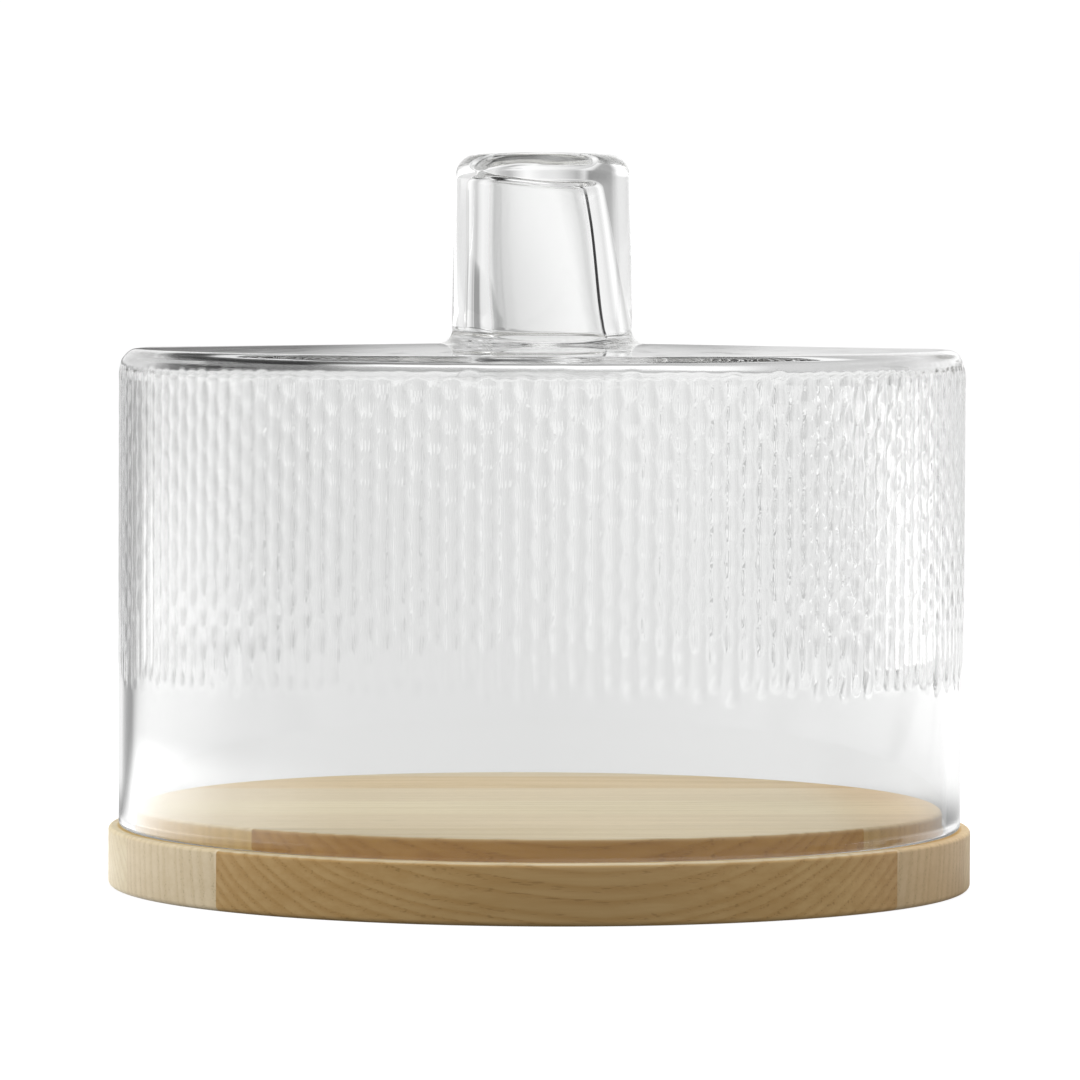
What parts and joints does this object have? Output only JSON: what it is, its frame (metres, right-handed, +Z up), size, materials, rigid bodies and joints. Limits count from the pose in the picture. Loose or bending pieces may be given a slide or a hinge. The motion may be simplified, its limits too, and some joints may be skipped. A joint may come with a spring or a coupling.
{
  "type": "cake stand dome",
  "caption": "Clear blown glass cake dome with a hollow handle and raised relief, standing in the rebate of a round turned ash board.",
  "frame": {"origin": "centre of the board's underside", "axes": "+Z up along the board's and the dome's common axis, +X along the grain of the board to within four degrees"},
  "size_m": [0.32, 0.32, 0.272],
  "materials": {
    "clear_glass": "clear blown glass with a soft relief on its outer wall",
    "ash_wood": "pale ash, matt oiled, edge-glued staves"
  },
  "bodies": {
    "board": {"stave_front": "ash_wood", "stave_second": "ash_wood", "stave_third": "ash_wood", "stave_fourth": "ash_wood", "stave_fifth": "ash_wood", "stave_back": "ash_wood"},
    "dome": {"glass_dome": "clear_glass"}
  },
  "joints": [
    {"name": "dome_lift", "type": "slide", "parent": "board", "child": "dome", "axis": [0, 0, 1], "range_m": [0, 0.18]}
  ]
}
